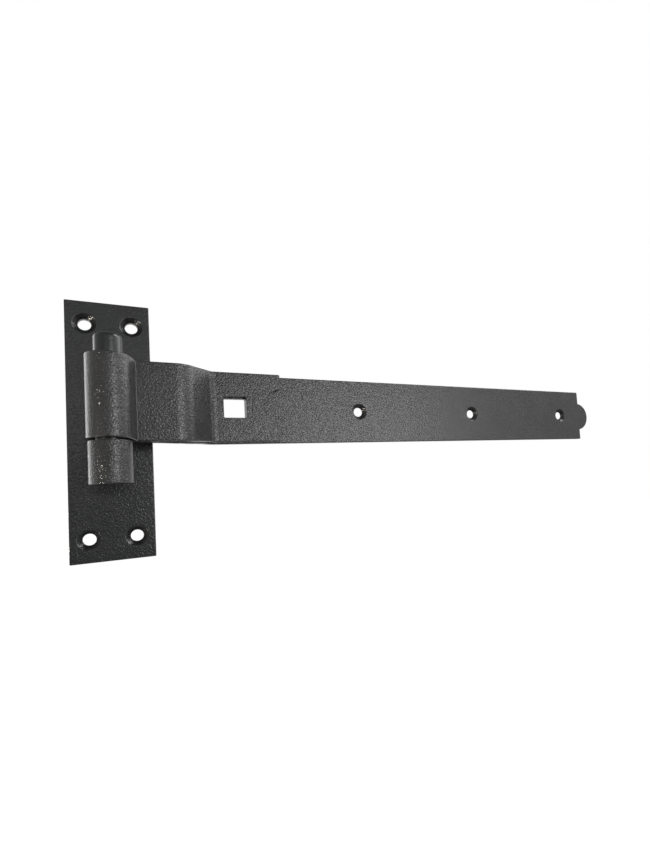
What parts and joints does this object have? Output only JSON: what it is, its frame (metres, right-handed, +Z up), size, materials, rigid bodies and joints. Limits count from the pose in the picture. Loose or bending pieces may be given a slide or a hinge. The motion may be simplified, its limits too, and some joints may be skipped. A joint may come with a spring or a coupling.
{
  "type": "hook and band hinge",
  "caption": "Cranked steel gate hinge: a folded strap band turns on the upright pin of a hook riveted to a screw plate, so a gate lies flush with its post and can be lifted off.",
  "frame": {"origin": "middle of the hook plate's back face, which lies on the post", "axes": "+X along the closed band away from the pin, +Y into the post, +Z up along the pin"},
  "size_m": [0.3677, 0.0381, 0.132],
  "materials": {
    "plate_coat": "fine textured black powder coat",
    "hook_coat": "fine textured black powder coat",
    "band_coat": "fine textured black powder coat"
  },
  "bodies": {
    "hook": {"hook_plate": "plate_coat", "pin_hook": "hook_coat"},
    "band": {"band": "band_coat"}
  },
  "joints": [
    {"name": "band_swing", "type": "hinge", "parent": "hook", "child": "band", "pos_m": [0, -0.0285, 0.012], "axis": [0, 0, 1], "range_deg": [-236, 32]}
  ]
}
